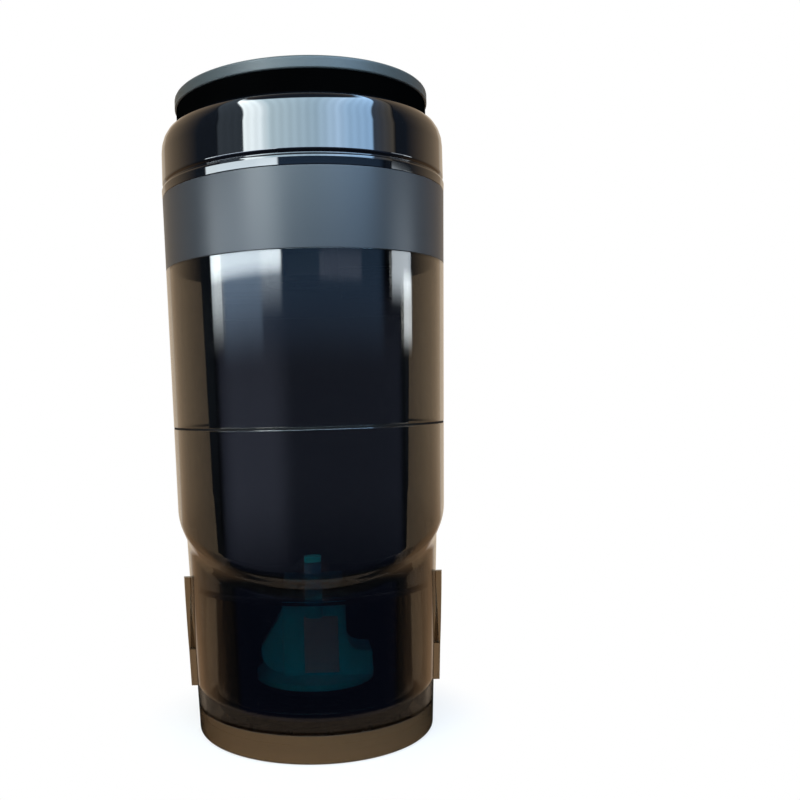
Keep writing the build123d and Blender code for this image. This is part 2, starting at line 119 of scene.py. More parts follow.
@dataclass(frozen=True)
class Finish:
    """A moulded plastic surface: two close tones in slow clouds, fine grain in gloss and relief."""

    name: str
    tone: str
    second_tone: str
    roughness: float
    spread: float
    grain_mm: float
    relief_mm: float
    cloud_mm: float = 18.0
    ior: float = 1.5
    sockets: dict[str, Any] = field(default_factory=dict)

    def coordinates(self, tree: bpy.types.NodeTree) -> bpy.types.NodeSocket:
        """Object coordinates that the patterns are read at."""
        return add_node(tree, "ShaderNodeTexCoord").outputs["Object"]

    def colour(self, tree: bpy.types.NodeTree, place: bpy.types.NodeSocket) -> bpy.types.NodeSocket:
        """Colour that drifts between the two tones in soft clouds.

        Args:
            tree: material's node tree.
            place: coordinates.

        Returns:
            Colour socket.
        """
        clouds = add_node(
            tree, "ShaderNodeTexNoise", values={"Scale": 1 / (self.cloud_mm * MM), "Detail": CLOUD_DETAIL},
            links={"Vector": place},
        )
        mix = add_node(
            tree, "ShaderNodeMix", {"data_type": "RGBA"},
            {MIX_A: linear(self.tone), MIX_B: linear(self.second_tone)}, {"Factor": clouds.outputs["Fac"]},
        )
        return mix.outputs[MIX_OUT]

    def material(self) -> bpy.types.Material:
        """Material of this finish, built once.

        Returns:
            The material.
        """
        made = bpy.data.materials.get(self.name)
        if made:
            return made
        made = bpy.data.materials.new(self.name)
        made.use_nodes = True
        tree = made.node_tree
        shader = tree.nodes["Principled BSDF"]
        place = self.coordinates(tree)
        tree.links.new(self.colour(tree, place), shader.inputs["Base Color"])
        grain = add_node(
            tree, "ShaderNodeTexNoise", values={"Scale": 1 / (self.grain_mm * MM), "Detail": GRAIN_DETAIL},
            links={"Vector": place},
        )
        gloss = add_node(
            tree, "ShaderNodeMapRange",
            values={"To Min": self.roughness - self.spread, "To Max": self.roughness + self.spread},
            links={"Value": grain.outputs["Fac"]},
        )
        tree.links.new(gloss.outputs["Result"], shader.inputs["Roughness"])
        relief = add_node(
            tree, "ShaderNodeBump", values={"Strength": RELIEF_STRENGTH, "Distance": self.relief_mm * MM},
            links={"Height": grain.outputs["Fac"]},
        )
        tree.links.new(relief.outputs["Normal"], shader.inputs["Normal"])
        shader.inputs["IOR"].default_value = self.ior
        for name, value in self.sockets.items():
            shader.inputs[name].default_value = value
        return made


@dataclass(frozen=True)
class Steel(Finish):
    """Drawn steel: metal with fine upright lines."""

    squeeze: float = 0.04

    def coordinates(self, tree: bpy.types.NodeTree) -> bpy.types.NodeSocket:
        """Coordinates squeezed along Z, so that the grain draws out into upright lines."""
        place = super().coordinates(tree)
        return add_node(
            tree, "ShaderNodeMapping", values={"Scale": (1.0, 1.0, self.squeeze)}, links={"Vector": place},
        ).outputs["Vector"]


class Axis(Enum):
    """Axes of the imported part, as Blender names them."""

    X = "X"
    Y = "Y"
    Z = "Z"


class Side(Enum):
    """Sides of a level across the part, each with the socket of a colour mix that stands for it."""

    LOW = MIX_A
    HIGH = MIX_B


@dataclass(frozen=True)
class Zoned(Finish):
    """Clear plastic on one side of a level across the part, another tone and clearness on the other."""

    axis: Axis = Axis.Z
    seam_mm: float = 0.0
    blend_mm: float = 0.2
    clear_side: Side = Side.HIGH
    other_tone: str = "#000000"
    other_clear: float = 0.0

    def material(self) -> bpy.types.Material:
        """Material that is clear on one side of the seam and has the other tone and clearness beyond it.

        The share above the seam is (coordinate - seam) / blend + 1/2, held between 0 and 1.

        Returns:
            The material.
        """
        made = super().material()
        tree = made.node_tree
        shader = tree.nodes["Principled BSDF"]
        if shader.inputs["Transmission Weight"].is_linked:
            return made
        axes = add_node(tree, "ShaderNodeSeparateXYZ", links={0: self.coordinates(tree)}).outputs
        above = add_node(
            tree, "ShaderNodeMapRange",
            values={
                "From Min": (self.seam_mm - self.blend_mm / 2) * MM,
                "From Max": (self.seam_mm + self.blend_mm / 2) * MM,
            },
            links={"Value": axes[self.axis.value]},
        ).outputs["Result"]
        tint = shader.inputs["Base Color"].links[0].from_socket
        other = Side.LOW if self.clear_side is Side.HIGH else Side.HIGH
        mix = add_node(
            tree, "ShaderNodeMix", {"data_type": "RGBA"}, {other.value: linear(self.other_tone)},
            {"Factor": above, self.clear_side.value: tint},
        )
        tree.links.new(mix.outputs[MIX_OUT], shader.inputs["Base Color"])
        clear = {self.clear_side: 1.0, other: self.other_clear}
        share = add_node(
            tree, "ShaderNodeMapRange", values={"To Min": clear[Side.LOW], "To Max": clear[Side.HIGH]},
            links={"Value": above},
        ).outputs["Result"]
        tree.links.new(share, shader.inputs["Transmission Weight"])
        return made


# Clear polycarbonate with a warm smoke tint, injection moulded in a polished tool: sharp reflections
# with a very slight swim, brown-grey where white shows through both walls, milky brown in the thick
# ring at the base.
SMOKE_PC = Zoned(
    "smoke_polycarbonate", "#9d9992", "#9a968f", 0.03, 0.015, 9.0, 0.004, cloud_mm=60.0, ior=1.58,
    sockets={"Coat Weight": 1.0, "Coat Roughness": 0.02, "Coat IOR": 1.5},
    seam_mm=10.2, other_tone="#60462f", other_clear=0.3,
)
# The same polycarbonate in solid sections, which the light crosses lengthwise: dark brown.
RAIL_PC = Finish(
    "smoke_polycarbonate_solid", "#8a7a66", "#827360", 0.06, 0.02, 4.0, 0.004, cloud_mm=20.0, ior=1.58,
    sockets={"Transmission Weight": 1.0},
)
# Polycarbonate moulded in two shots: clear with a cool tint in front, black behind,
# so that the valve shows through the front and the tube stays dark with sharp edges.
CUP_PC = Zoned(
    "two_shot_polycarbonate", "#f8f9ff", "#f4f6fd", 0.05, 0.02, 7.0, 0.004, cloud_mm=40.0, ior=1.58,
    axis=Axis.Y, seam_mm=-14.0, clear_side=Side.LOW, other_tone="#07080c", other_clear=0.0,
)
# ABS moulded in a spark-eroded tool: even fine matte grain that spreads the window into a soft glow.
BAND_ABS = Finish("spark_grained_abs", "#3b3d3f", "#38393c", 0.32, 0.06, 0.45, 0.02, cloud_mm=25.0, ior=1.6)
# ABS moulded in a polished tool: black with mirror-sharp reflections and hardly any swim.
COLLAR_ABS = Finish(
    "piano_black_abs", "#08090c", "#0b0c10", 0.045, 0.02, 6.0, 0.004, ior=1.7,
    sockets={"Coat Weight": 1.0, "Coat Roughness": 0.03, "Coat IOR": 1.6},
)
# ABS moulded in a fine-grained tool: slate grey, duller than the band.
CAP_ABS = Finish("slate_abs", "#454a49", "#404544", 0.42, 0.07, 0.5, 0.02, cloud_mm=22.0, ior=1.55)
# Rubber ring under the cap: near black with no gloss at all, which is painted shade of the deep recess that
# it sits in.
RING_SHADE_RUBBER = Finish(
    "ring_rubber_painted_shade", "#020202", "#040404", 0.9, 0.06, 0.8, 0.05, sockets={"Specular IOR Level": 0.0},
)
# EPDM rubber, moulded: deep black, dull.
EPDM = Finish("epdm_rubber", "#060606", "#0a0a0a", 0.7, 0.08, 0.6, 0.02)
# Polypropylene, moulded: black with a slight satin sheen.
BLACK_PP = Finish("black_polypropylene", "#0b0b0d", "#100f12", 0.32, 0.06, 0.9, 0.01)
# Polypropylene moulded in a sand-blasted tool: dull black with no sheen.
TRAY_PP = Finish(
    "dull_black_polypropylene", "#040405", "#070708", 0.75, 0.08, 0.9, 0.02,
    sockets={"Specular IOR Level": 0.05},
)
# Screen ink wiped into the level groove: flat black.
INK = Finish("black_ink", "#0a0a0a", "#0e0d0d", 0.6, 0.08, 0.4, 0.01, sockets={"Specular IOR Level": 0.2})
# Polycarbonate with a navy tint, moulded in a polished tool: dark, and the valve's stem shows through it.
NAVY_PC = Finish(
    "navy_polycarbonate", "#b8c4e2", "#b2bedc", 0.08, 0.03, 5.0, 0.005, ior=1.58,
    sockets={"Transmission Weight": 1.0},
)
# Polypropylene, moulded: clear teal, satin.
TEAL_PP = Finish("teal_polypropylene", "#00f0ff", "#00e2f6", 0.34, 0.06, 0.7, 0.012)
# Drawn steel bar with a dull zinc coat.
STEEL = Steel("zinc_coated_steel", "#e0e2e4", "#d2d4d8", 0.42, 0.08, 0.25, 0.006, sockets={"Metallic": 0.4})
# Expanded polypropylene, moulded: pale grey float.
FLOAT_PP = Finish("grey_polypropylene", "#a0a4a8", "#989ca0", 0.5, 0.06, 0.9, 0.02)
# ABS, moulded: mid grey frame of the filter.
FRAME_ABS = Finish("grey_abs", "#4c5056", "#484c52", 0.45, 0.06, 0.6, 0.015)
# Pleated glass-fibre paper: soft white felt of short fibres.
PAPER = Finish("filter_paper", "#e4e2da", "#d8d5cb", 0.85, 0.05, 0.5, 0.05)


def rounded(corners: np.ndarray, rounds: np.ndarray, steps: int = 5) -> np.ndarray:
    """Closed profile with rounded corners.

    A corner P with unit vectors u to the corner before and v to the corner after becomes the arc
    P + u a (1 - sin w) + v b (1 - cos w), w from 0 to 90 degrees, where a and b are its rounding lengths.
    One more point just past each end of the arc keeps the flats between the corners flat.

    Args:
        corners: radius and height of each corner, shape (..., n, 2).
        rounds: rounding length towards the corner before and the one after, shape (n, 2).
        steps: points on each arc, less one.

    Returns:
        Points of the profile, shape (..., n * (steps + 3), 2).
    """
    before = np.roll(corners, 1, axis=-2) - corners
    after = np.roll(corners, -1, axis=-2) - corners
    u = before / np.linalg.norm(before, axis=-1, keepdims=True)
    v = after / np.linalg.norm(after, axis=-1, keepdims=True)
    w = np.linspace(0.0, math.pi / 2, steps + 1)
    along_u = np.concatenate(([FLAT_GUARD], 1 - np.sin(w), [0.0]))
    along_v = np.concatenate(([0.0], 1 - np.cos(w), [FLAT_GUARD]))
    arcs = (
        corners[..., :, None, :]
        + u[..., :, None, :] * rounds[:, 0][:, None, None] * along_u[:, None]
        + v[..., :, None, :] * rounds[:, 1][:, None, None] * along_v[:, None]
    )
    return arcs.reshape(*corners.shape[:-2], -1, 2)


def turns(segments: int) -> np.ndarray:
    """Evenly spaced turns of a full circle, in radians."""
    return np.arange(segments) * (2 * math.pi / segments)


def lathe(profile: np.ndarray, segments: int = 192) -> tuple[np.ndarray, np.ndarray]:
    """Surface of a closed profile carried round Z.

    A profile point (r, z) at the turn t is (r cos t, r sin t, z). A profile may differ from turn to turn.

    Args:
        profile: points (m, 2), or (segments, m, 2) where the profile changes with the turn.
        segments: turns in a full circle.

    Returns:
        Points (segments * m, 3) and quads.
    """
    turn = turns(segments)
    rings = np.broadcast_to(profile, (segments, *profile.shape[-2:]))
    points = np.stack(
        (rings[..., 0] * np.cos(turn)[:, None], rings[..., 0] * np.sin(turn)[:, None], rings[..., 1]), axis=-1
    )
    count = rings.shape[1]
    index = np.arange(segments * count).reshape(segments, count)
    ahead = np.roll(index, -1, axis=0)
    quads = np.stack((index, ahead, np.roll(ahead, -1, axis=1), np.roll(index, -1, axis=1)), axis=-1)
    return points.reshape(-1, 3), quads.reshape(-1, 4)


def blocks(low: np.ndarray, high: np.ndarray, turn: np.ndarray) -> tuple[np.ndarray, np.ndarray]:
    """One box turned to several places round Z.

    The eight corners are all pairings of the low and high limits, turned by each angle.

    Args:
        low: lowest corner.
        high: highest corner.
        turn: turns about Z in radians.

    Returns:
        Points (8 n, 3) and quads.
    """
    pick = np.array([[i & 1, i >> 1 & 1, i >> 2] for i in range(8)])
    corner = np.where(pick == 0, low, high)
    c = np.cos(turn)[:, None]
    s = np.sin(turn)[:, None]
    across = c * corner[:, 0] - s * corner[:, 1]
    along = s * corner[:, 0] + c * corner[:, 1]
    points = np.stack((across, along, np.tile(corner[:, 2], (len(turn), 1))), axis=-1)
    sides = np.array([[0, 2, 3, 1], [4, 5, 7, 6], [0, 1, 5, 4], [2, 6, 7, 3], [0, 4, 6, 2], [1, 3, 7, 5]])
    quads = sides[None] + 8 * np.arange(len(turn))[:, None, None]
    return points.reshape(-1, 3), quads.reshape(-1, 4)


def joined(*parts: tuple[np.ndarray, np.ndarray]) -> tuple[np.ndarray, np.ndarray]:
    """Several surfaces as one, with the later ones' point numbers moved up.

    Args:
        parts: points and quads of each surface.

    Returns:
        Points and quads of all of them.
    """
    shift = np.cumsum([0] + [len(points) for points, _ in parts[:-1]])
    quads = np.concatenate([faces + step for (_, faces), step in zip(parts, shift)])
    return np.concatenate([points for points, _ in parts]), quads


def profile_of(*corners: tuple[float, ...]) -> np.ndarray:
    """Rounded closed profile from corners.

    Args:
        corners: radius, height and rounding length of each corner; a fourth value is the rounding length
            towards the next corner where it differs.

    Returns:
        Points of the profile.
    """
    rows = np.array([(*corner, corner[2])[:4] if len(corner) == 3 else corner for corner in corners], float)
    return rounded(rows[:, :2], rows[:, 2:])


class Workshop:
    """Puts surfaces and finishes into the scene and logs them."""

    @staticmethod
    def add(
        name: str, surface: tuple[np.ndarray, np.ndarray], body: Body, finish: Finish, slot: str, *nodes: str
    ) -> bpy.types.Object:
        """Adds a piece that stands for CAD nodes.

        Args:
            name: piece name.
            surface: points in millimetres and quads.
            body: body that it rides on.
            finish: its finish.
            slot: the record's material slot; not used.
            nodes: CAD nodes that it stands for.

        Returns:
            The new object.
        """
        points, quads = surface
        a, b, c, d = (points[quads[:, i]] for i in range(4))
        six_volume = np.einsum("ij,ij->", a, np.cross(b, c)) + np.einsum("ij,ij->", a, np.cross(c, d))
        faces = quads if six_volume > 0 else quads[:, ::-1]
        mesh = bpy.data.meshes.new(name)
        mesh.from_pydata((points * MM).tolist(), [], faces.tolist())
        mesh.polygons.foreach_set("use_smooth", np.ones(len(faces), bool))
        mesh.set_sharp_from_angle(angle=math.radians(SHARP_ANGLE))
        mesh.materials.append(finish.material())
        mesh.update()
        piece = bpy.data.objects.new(name, mesh)
        bpy.context.scene.collection.objects.link(piece)
        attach(piece, body.value)
        if nodes:
            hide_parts(*nodes)
        LOG.info("%s: %d faces on %s", name, len(faces), body.value)
        return piece

    @staticmethod
    def dress(finish: Finish, *nodes: str) -> None:
        """Gives CAD nodes a finish.

        Args:
            finish: their finish.
            nodes: names of the nodes.
        """
        for node in nodes:
            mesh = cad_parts[node].data
            mesh.materials.clear()
            mesh.materials.append(finish.material())
            LOG.info("%s: %s", node, finish.name)


@dataclass
class TankBody:
    """Tinted shell with its slanted step, the band round its neck, and what stands in the foot."""

    rim_height: float = 205.8
    rim_radius: float = 55.1
    upper_draft: float = 1.4
    lower_draft: float = 2.6
    wall: float = 2.6
    band_height: float = 27.9
    band_wall: float = 1.3
    bond_gap: float = 0.05
    level_height: float = 117.0
    level_groove: float = 0.5
    step_height: float = 86.5
    step_tilt: float = 22.0
    step_drop: float = 7.5
    step_width: float = 2.6
    skirt_depth: float = 3.6
    floor_top: float = 6.0
    floor_hole: float = 18.4
    cup_gap: float = 4.45
    cup_wall: float = 2.0
    tray_top: float = 15.5
    deck_bottom: float = 55.516
    base_round: float = 1.0
    step_round: float = 2.2
    ledge_round: float = 1.6
    crisp_round: float = 0.12
    small_round: float = 0.2
    rim_round: float = 0.5
    floor_round: float = 1.2
    hole_round: float = 0.4
    skirt_round: float = 0.6
    ink_fill: float = 0.8
    ink_sink: float = 0.1
    ink_round: float = 0.05

    def upper_radius(self, height: np.ndarray | float) -> np.ndarray | float:
        """Outside radius of the upper part at a height."""
        return self.rim_radius - (self.rim_height - height) * math.tan(math.radians(self.upper_draft))

    def lower_radius(self, height: np.ndarray | float) -> np.ndarray | float:
        """Outside radius of the foot at a height."""
        top = self.upper_radius(self.step_height) - self.step_width
        return top - (self.step_height - height) * math.tan(math.radians(self.lower_draft))

    def slant_edge(
        self, radius_at: Callable[[float], float], height: float, draft: float, inset: float, turn: np.ndarray
    ) -> np.ndarray:
        """Where a tapered wall meets a slanted plane, for every turn.

        The wall's radius is r0 + k (z - h) and the plane is z = h + s y with y = r sin t,
        so r = r0 / (1 - k s sin t).

        Args:
            radius_at: the wall's outside radius at a height.
            height: height of the plane on the axis.
            draft: taper of the wall in degrees.
            inset: how far the wall is drawn in.
            turn: turns about Z.

        Returns:
            Radius and height at each turn, shape (segments, 2).
        """
        slope = math.tan(math.radians(self.step_tilt))
        taper = math.tan(math.radians(draft))
        radius = (radius_at(height) - inset) / (1 - taper * slope * np.sin(turn))
        return np.stack((radius, height + slope * radius * np.sin(turn)), axis=-1)

    def shell(self, segments: int = FINE_SEGMENTS) -> tuple[np.ndarray, np.ndarray]:
        """Shell as a closed profile that changes with the turn, because the step is slanted.

        Args:
            segments: turns in a full circle.

        Returns:
            Points and quads.
        """
        turn = turns(segments)
        band_bottom = self.rim_height - self.band_height
        neck = self.upper_radius(band_bottom) - self.band_wall
        level = self.level_height
        groove = self.level_groove
        low_edge = self.step_height - self.step_drop

        def even(radius: float, height: float) -> np.ndarray:
            """A corner that is the same at every turn."""
            return np.tile((radius, height), (segments, 1))

        def foot_edge(inset: float) -> np.ndarray:
            """Where the foot's wall meets the slanted step."""
            return self.slant_edge(self.lower_radius, low_edge, self.lower_draft, inset, turn)

        def ledge_edge(inset: float) -> np.ndarray:
            """Where the upper wall meets the slanted step."""
            return self.slant_edge(self.upper_radius, self.step_height, self.upper_draft, inset, turn)

        outline = [
            (even(self.lower_radius(0), 0), self.base_round),
            (foot_edge(0.0), self.step_round),
            (ledge_edge(0.0), self.ledge_round),
            (even(self.upper_radius(level - groove), level - groove), self.crisp_round),
            (even(self.upper_radius(level) - groove, level), self.small_round),
            (even(self.upper_radius(level + groove), level + groove), self.crisp_round),
            (even(self.upper_radius(band_bottom), band_bottom), self.crisp_round),
            (even(neck, band_bottom), self.small_round),
            (even(neck, self.rim_height), self.small_round),
            (even(self.rim_radius - self.wall, self.rim_height), self.rim_round),
            (ledge_edge(self.wall), self.ledge_round),
            (foot_edge(self.wall), self.step_round),
            (even(self.lower_radius(self.floor_top) - self.wall, self.floor_top), self.floor_round),
            (even(self.floor_hole, self.floor_top), self.hole_round),
            (even(self.floor_hole, self.skirt_depth), self.hole_round),
            (even(self.lower_radius(self.skirt_depth) - self.wall, self.skirt_depth), self.skirt_round),
            (even(self.lower_radius(0) - self.wall, 0), self.hole_round),
        ]
        corners = np.stack([corner for corner, _ in outline], axis=1)
        rounds = np.repeat([[length] for _, length in outline], 2, axis=1)
        return lathe(rounded(corners, rounds), segments)

    def band(self) -> tuple[np.ndarray, np.ndarray]:
        """Matte band in the neck's recess: a tapered strip with its edges just broken, carried round Z.

        Returns:
            Points and quads.
        """
        low = self.rim_height - self.band_height
        inner = self.upper_radius(low) - self.band_wall + self.bond_gap
        return lathe(profile_of(
            (inner, low, 0.1), (self.upper_radius(low), low, 0.25), (self.rim_radius, self.rim_height, 0.3),
            (inner, self.rim_height, 0.1),
        ))

    def level_line(self) -> tuple[np.ndarray, np.ndarray]:
        """Ink that fills most of the level groove: a small triangle carried round Z.

        Returns:
            Points and quads.
        """
        level = self.level_height
        half = self.ink_fill * self.level_groove
        face = self.upper_radius(level) - self.ink_sink
        return lathe(profile_of(
            (self.upper_radius(level) - half, level, self.ink_round), (face, level - half, self.ink_round),
            (face, level + half, self.ink_round),
        ))

    def cup(self) -> tuple[np.ndarray, np.ndarray]:
        """Tinted tube between the tray and the deck: its wall's section carried round Z.

        Returns:
            Points and quads.
        """
        outer = self.lower_radius(0) - self.wall - self.cup_gap
        inner = outer - self.cup_wall
        return lathe(profile_of(
            (inner, self.tray_top, 0.2), (outer, self.tray_top, 0.2), (outer, self.deck_bottom, 0.3),
            (inner, self.deck_bottom, 0.3),
        ))

    def build(self) -> None:
        """Adds the pieces and dresses the CAD nodes of the tank."""
        Workshop.add("tank_shell_skin", self.shell(), Body.TANK, SMOKE_PC, "smoke_plastic", "tank_shell")
        Workshop.add("neck_band", self.band(), Body.TANK, BAND_ABS, "band_grey", "top_band")
        Workshop.add("level_line", self.level_line(), Body.TANK, INK, "duct_black")
        Workshop.add("cup_tube", self.cup(), Body.TANK, CUP_PC, "cup_blue", "foot_cup")
        Workshop.dress(BLACK_PP, "riser_duct", "riser_panel")
        Workshop.dress(TRAY_PP, "cup_base")
        Workshop.dress(RAIL_PC, "guide_rail_left", "guide_rail_right")
        Workshop.dress(NAVY_PC, "foot_deck", "deck_baffle")
        Workshop.dress(EPDM, "valve_seat", "inlet_gasket")


@dataclass
class Lid:
    """Gloss collar with its bead and shoulder, and the inner lid under it."""

    rim_height: float = 205.8
    rim_radius: float = 55.1
    bead_height: float = 4.4
    bead_stand: float = 0.45
    bead_lean: float = 0.2
    bead_peak: float = 0.75
    collar_inset: float = 0.1
    collar_height: float = 26.4
    collar_wall: float = 2.0
    collar_deck: float = 2.4
    shoulder_width: float = 5.5
    shoulder_height: float = 9.0
    ring_bore: float = 43.4

    def collar(self) -> tuple[np.ndarray, np.ndarray]:
        """Collar's profile carried round Z.

        From the bottom: a bead that leans out a little, a hollow line above it, the plain wall, an elliptical
        shoulder and the deck.

        Returns:
            Points and quads.
        """
        low = self.rim_height
        top = low + self.collar_height
        outer = self.rim_radius - self.collar_inset
        inner = outer - self.collar_wall
        bead_top = low + self.bead_height
        hollow = outer - 2 * self.bead_stand
        return lathe(profile_of(
            (inner, low, 0.2),
            (self.rim_radius, low, 0.25),
            (self.rim_radius + self.bead_lean, low + self.bead_peak * self.bead_height, 0.5),
            (hollow, bead_top, 0.4),
            (outer, bead_top + 2 * self.bead_stand, 0.5),
            (outer, top, self.shoulder_height, self.shoulder_width),
            (self.ring_bore, top, 0.3),
            (self.ring_bore, top - self.collar_deck, 0.3),
            (inner, top - self.collar_deck, 3.0),
        ), FINE_SEGMENTS)

    def build(self) -> None:
        """Adds the collar and dresses the CAD nodes of the lid."""
        Workshop.add("collar_skin", self.collar(), Body.LID, COLLAR_ABS, "collar_black", "lid_collar")
        Workshop.dress(BLACK_PP, "lid_plate", "filter_well", "float_cage")
        Workshop.dress(EPDM, "lid_seal", "float_seat")
        Workshop.dress(STEEL, "lid_screws")
        Workshop.dress(FLOAT_PP, "shutoff_float")


@dataclass
class FilterUnit:
    """Grey cap with its grille, the black ring under it and the pleated filter."""

    cap_radius: float = 49.5
    cap_bottom: float = 240.3
    cap_top: float = 245.0
    cap_edge: float = 1.2
    core_radius: float = 26.0
    collar_top: float = 232.2
    ring_radius: float = 48.9
    ring_bore: float = 43.4
    grille_hub: float = 6.0
    grille_vanes: int = 6
    grille_vane_width: float = 2.2
    grille_height: float = 3.0
    grille_sink: float = 1.0
    hub_segments: int = 48
    pole_round: float = 0.01

    def cap(self) -> tuple[np.ndarray, np.ndarray]:
        """Disc with a rounded edge and a hub, both profiles carried round Z, and straight vanes between them.

        Returns:
            Points and quads.
        """
        top = self.cap_top - self.grille_sink
        low = top - self.grille_height
        disc = lathe(profile_of(
            (self.core_radius, self.cap_bottom, 0.2), (self.cap_radius, self.cap_bottom, 0.6),
            (self.cap_radius, self.cap_top, self.cap_edge), (self.core_radius, self.cap_top, 0.6),
        ))
        hub = lathe(profile_of(
            (0.0, low, self.pole_round), (self.grille_hub, low, 0.3), (self.grille_hub, top, 0.5),
            (0.0, top, self.pole_round),
        ), self.hub_segments)
        half = self.grille_vane_width / 2
        reach = (self.grille_hub - half, self.core_radius + half)
        vanes = blocks(
            np.array((reach[0], -half, low)), np.array((reach[1], half, top)), turns(self.grille_vanes)
        )
        return joined(disc, hub, vanes)

    def ring(self) -> tuple[np.ndarray, np.ndarray]:
        """Black ring between the collar and the cap: its section carried round Z.

        Returns:
            Points and quads.
        """
        return lathe(profile_of(
            (self.ring_bore, self.collar_top, 0.2), (self.ring_radius, self.collar_top, 0.4),
            (self.ring_radius, self.cap_bottom, 0.4), (self.ring_bore, self.cap_bottom, 0.2),
        ))

    def build(self) -> None:
        """Adds the cap and ring and dresses the CAD nodes of the filter."""
        Workshop.add("cap_disc", self.cap(), Body.FILTER, CAP_ABS, "cap_grey", "filter_cap")
        # The ring's near-black finish with no gloss is painted shade of the recess under the cap's edge.
        Workshop.add("cap_seal", self.ring(), Body.FILTER, RING_SHADE_RUBBER, "rubber_black", "cap_ring")
        Workshop.dress(FRAME_ABS, "filter_frame", "filter_ribs", "filter_end_plate")
        Workshop.dress(PAPER, "filter_media")


@dataclass
class CheckValve:
    """Teal valve, its steel weight and its rubber pad."""

    def build(self) -> None:
        """Dresses the CAD nodes of the valve."""
        Workshop.dress(TEAL_PP, "valve_bell")
        Workshop.dress(STEEL, "valve_weight")
        Workshop.dress(EPDM, "valve_pad")


@dataclass(frozen=True)
class Pane:
    """One soft-edged patch of the window, by the angles in degrees that it fills as seen from the axis."""

    left: float
    right: float
    low: float
    high: float
    radiance: float
    tint: str
    fade: float = 0.8
    edge: float = 1.2

    def light(self, azimuth: np.ndarray, elevation: np.ndarray) -> np.ndarray:
        """Radiance of the patch in each direction.

        Each edge is a ramp t = 1/2 + distance inside the edge / its width, held between 0 and 1 and eased as
        3 t^2 - 2 t^3, so that two patches that share an edge add up there. The patch is the product of its
        four ramps.

        Args:
            azimuth: directions to the right of the front, degrees.
            elevation: directions above the level, degrees.

        Returns:
            Red, green and blue for every direction.
        """
        inside = np.stack((
            (azimuth - self.left) / self.edge, (self.right - azimuth) / self.edge,
            (elevation - self.low) / self.fade, (self.high - elevation) / self.edge,
        ))
        ramp = np.clip(inside + 0.5, 0.0, 1.0)
        share = np.prod(ramp * ramp * (3 - 2 * ramp), axis=0)
        return share[..., None] * self.radiance * np.array(linear(self.tint)[:3])


